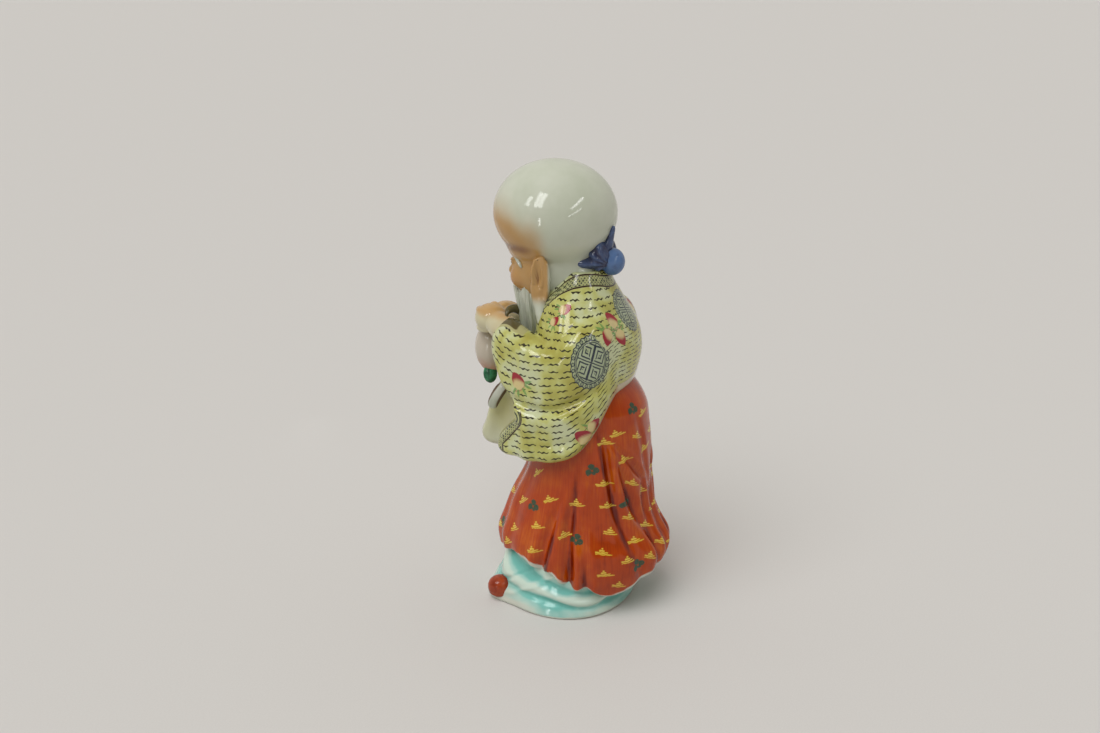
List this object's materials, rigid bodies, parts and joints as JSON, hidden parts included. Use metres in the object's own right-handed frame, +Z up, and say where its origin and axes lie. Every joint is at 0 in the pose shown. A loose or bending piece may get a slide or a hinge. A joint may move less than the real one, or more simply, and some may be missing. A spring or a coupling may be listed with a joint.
{
  "type": "figurine",
  "caption": "Glazed porcelain figurine of an old man with a tall bald head and long beard, holding a peach, in a yellow jacket, red skirt and turquoise robe.",
  "frame": {"origin": "centre of the figurine's bounding box, on its flat underside", "axes": "+Z up; the figure faces -Y; its left hand is on +X"},
  "size_m": [0.1072, 0.1422, 0.305],
  "materials": {
    "porcelain": "white porcelain under a hard, clear, glossy glaze"
  },
  "bodies": {
    "root": {"figurine": "porcelain"}
  },
  "joints": []
}
